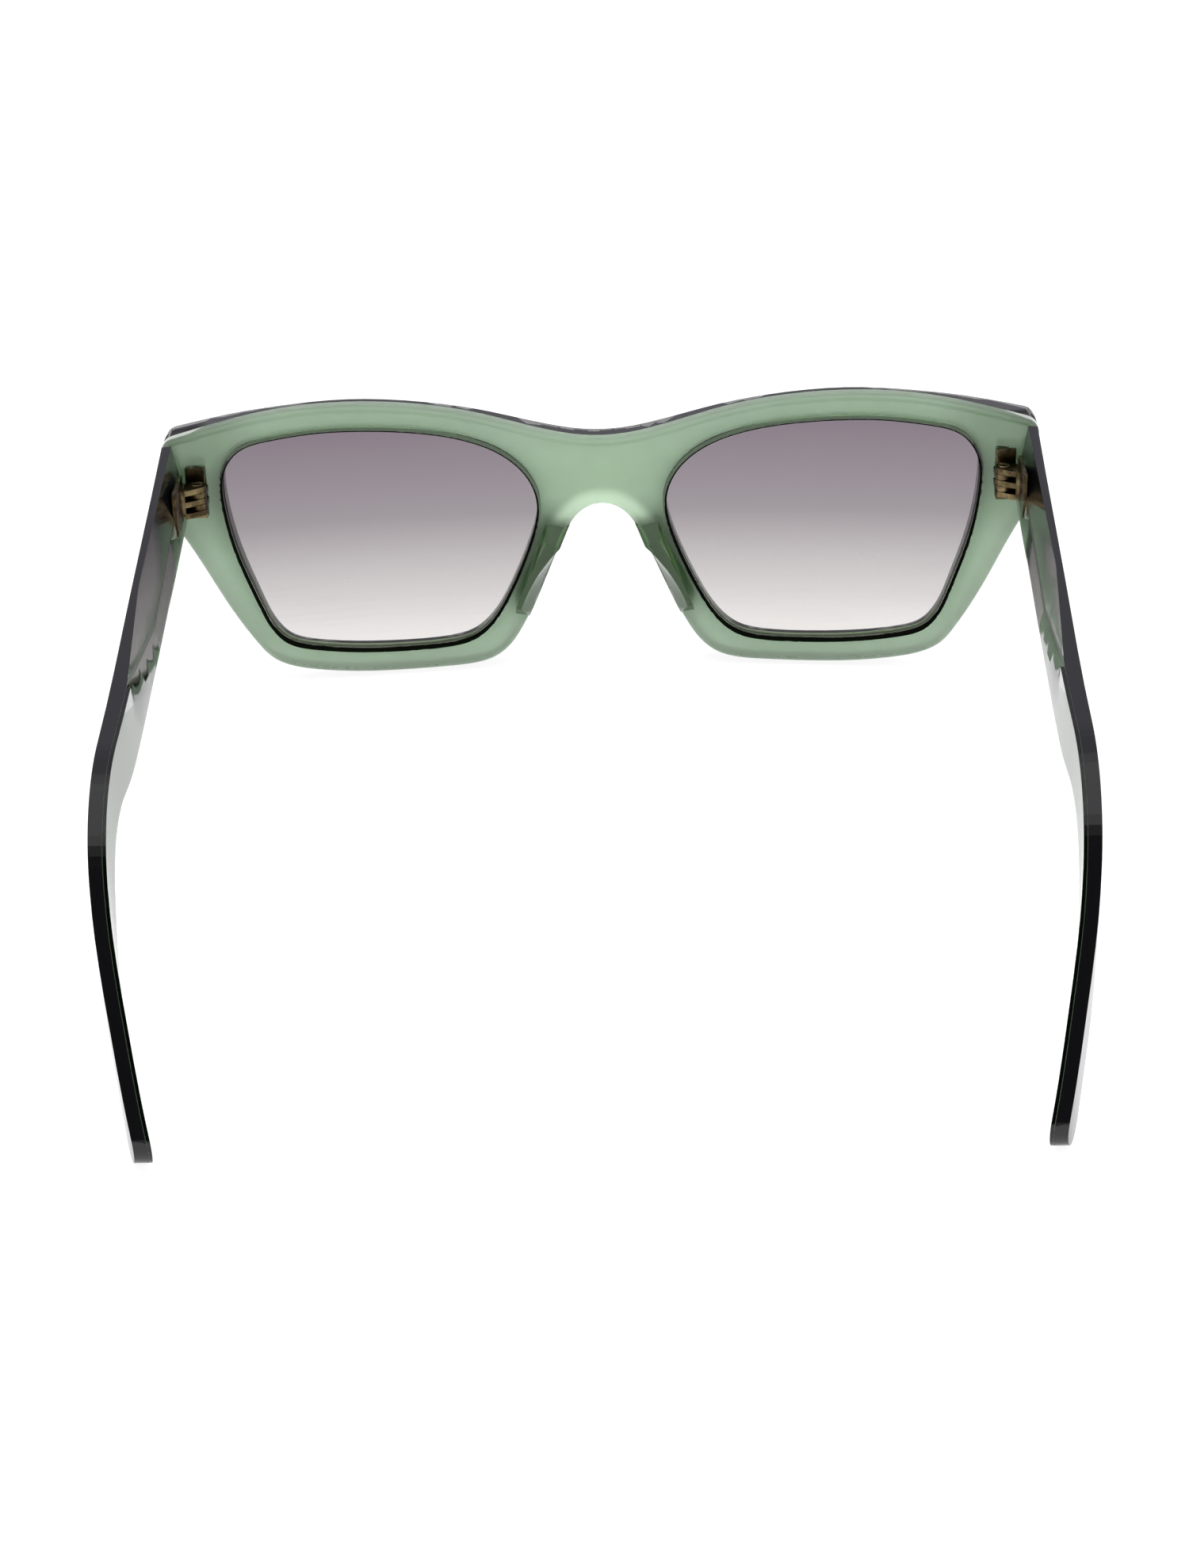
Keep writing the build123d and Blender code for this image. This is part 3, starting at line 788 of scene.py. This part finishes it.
@dataclass
class Studio:
    """Plain pale floor, soft lights and the camera; places and lengths in metres."""

    elevation_deg: float = 35.0
    yaw_deg: float = 1.546
    roll_deg: float = 2.12
    place: tuple[float, float, float] = (-0.012753, 0.414068, 0.306196)
    lens_mm: float = 75.84
    shift_x: float = -0.01072
    floor_half_side: float = 3.0
    floor_drop: float = 0.0002
    floor_glow: float = 0.85
    lamp_spot: tuple[float, float, float] = (-0.0640, -0.0593, 0.0413)
    lamp_distance: float = 0.6

    def lamp_place(self) -> Vector:
        """Find where a small lamp stands so that the right brow end mirrors it to the camera.

        The line of sight is mirrored in the back face: sight less twice its part along the normal.

        Returns:
            The lamp's place.
        """
        spot = Vector(self.lamp_spot)
        space = FrontSpace()
        normal = (space.depth_axis * space.back_radius - Vector((spot.x, 0.0, 0.0))).normalized()
        sight = (spot - Vector(self.place)).normalized()
        return spot + self.lamp_distance * (sight - 2.0 * sight.dot(normal) * normal)

    def camera(self) -> None:
        """Set the camera behind and above the wearer's side, turned and rolled by a degree or two."""
        turned = Matrix.Rotation(math.radians(self.yaw_deg), 3, "Z")
        lift = math.radians(self.elevation_deg)
        roll = math.radians(self.roll_deg)
        forward = turned @ Vector((0.0, -math.cos(lift), -math.sin(lift)))
        up = turned @ Vector((0.0, -math.sin(lift), math.cos(lift)))
        right = turned @ Vector((-1.0, 0.0, 0.0))
        rolled_right = right * math.cos(roll) - up * math.sin(roll)
        rolled_up = up * math.cos(roll) + right * math.sin(roll)
        turn = Matrix((rolled_right, rolled_up, -forward)).transposed()
        data = bpy.data.cameras.new("camera")
        data.lens = self.lens_mm
        data.sensor_width = SENSOR_WIDTH_MM
        data.shift_x = self.shift_x
        data.clip_start = 0.01
        data.clip_end = 20.0
        camera = bpy.data.objects.new("camera", data)
        camera.matrix_world = Matrix.Translation(self.place) @ turn.to_4x4()
        bpy.context.scene.collection.objects.link(camera)
        bpy.context.scene.camera = camera

    def floor(self) -> None:
        """Lay a large pale floor that glows, as a light table does."""
        half = self.floor_half_side
        ring = ((-half, -half), (half, -half), (half, half), (-half, half))
        mesh = bpy.data.meshes.new("floor")
        mesh.from_pydata([(x, y, -self.floor_drop) for x, y in ring], [], [(0, 1, 2, 3)])
        obj = bpy.data.objects.new("floor", mesh)
        material, tree = new_material("pale_floor")
        inputs = {
            "Base Color": hex_colour("8C8C8C"),
            "Roughness": 0.7,
            "Emission Color": WHITE,
            "Emission Strength": self.floor_glow,
        }
        close(tree, tree.add("ShaderNodeBsdfPrincipled", inputs))
        mesh.materials.append(material)
        bpy.context.scene.collection.objects.link(obj)

    def surround(self) -> None:
        """Make the pale surround: grey on the far side, with a dark hollow behind the camera."""
        world = bpy.data.worlds.new("studio")
        bpy.context.scene.world = world
        world.use_nodes = True
        tree = Tree(world.node_tree)
        way = tree.add("ShaderNodeTexCoord").outputs["Generated"]
        parts = tree.add("ShaderNodeSeparateXYZ", {0: way})
        # The sweep is brightest near the horizon and a little greyer above it.
        above = tree.ramp(parts.outputs[2], 0.42, 0.62)
        sweep = tree.mix(above, (1.45, 1.45, 1.45, 1.0), (1.20, 1.20, 1.22, 1.0))
        # The far side, which the top edges mirror, is a mid grey.
        far = tree.ramp(parts.outputs[1], -0.25, -0.55)
        sweep = tree.mix(far, sweep, (0.56, 0.54, 0.60, 1.0))
        # A dark hollow where the camera stands, which polished black pieces mirror.
        towards = tree.add("ShaderNodeVectorMath", {0: way, 1: (0.0, 0.80, 0.60)}, operation="DOT_PRODUCT")
        hollow = tree.ramp(towards.outputs["Value"], 0.80, 0.93)
        colour = tree.mix(hollow, sweep, (0.03, 0.03, 0.03, 1.0))
        back = tree.add("ShaderNodeBackground", {"Color": colour, "Strength": 1.0})
        tree.add("ShaderNodeOutputWorld", {"Surface": back.outputs[0]})

    def lights(self) -> None:
        """Hang two soft boxes that gloss does not mirror, and a small lamp that it does.

        Each has a name, a place, an aim, a side in metres and a power in watts.
        """
        spots = (
            ("top_softbox", (0.0, -0.15, 0.9), (0.0, 0.0, 0.0), 0.9, 6.0),
            ("side_softbox", (-0.9, 0.1, 0.5), (0.0, 0.0, 0.0), 0.5, 2.0),
            ("small_lamp", self.lamp_place(), self.lamp_spot, 0.009, 0.006),
        )
        for name, place, aim, size, power in spots:
            data = bpy.data.lights.new(name, "AREA")
            data.shape = "SQUARE"
            data.size = size
            data.energy = power
            light = bpy.data.objects.new(name, data)
            turn = (Vector(aim) - Vector(place)).to_track_quat("-Z", "Y")
            light.visible_glossy = name == "small_lamp"
            light.matrix_world = Matrix.Translation(place) @ turn.to_matrix().to_4x4()
            bpy.context.scene.collection.objects.link(light)

    def build(self) -> None:
        """Build the floor, lights and camera."""
        bpy.context.scene.view_settings.view_transform = "Standard"
        self.floor()
        self.surround()
        self.lights()
        self.camera()


def main() -> None:
    """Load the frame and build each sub-assembly."""
    logging.basicConfig(level=logging.INFO)
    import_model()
    Front().dress()
    for side in Side:
        Temple(side).dress()
    Studio().build()


if __name__ == "__main__":
    main()
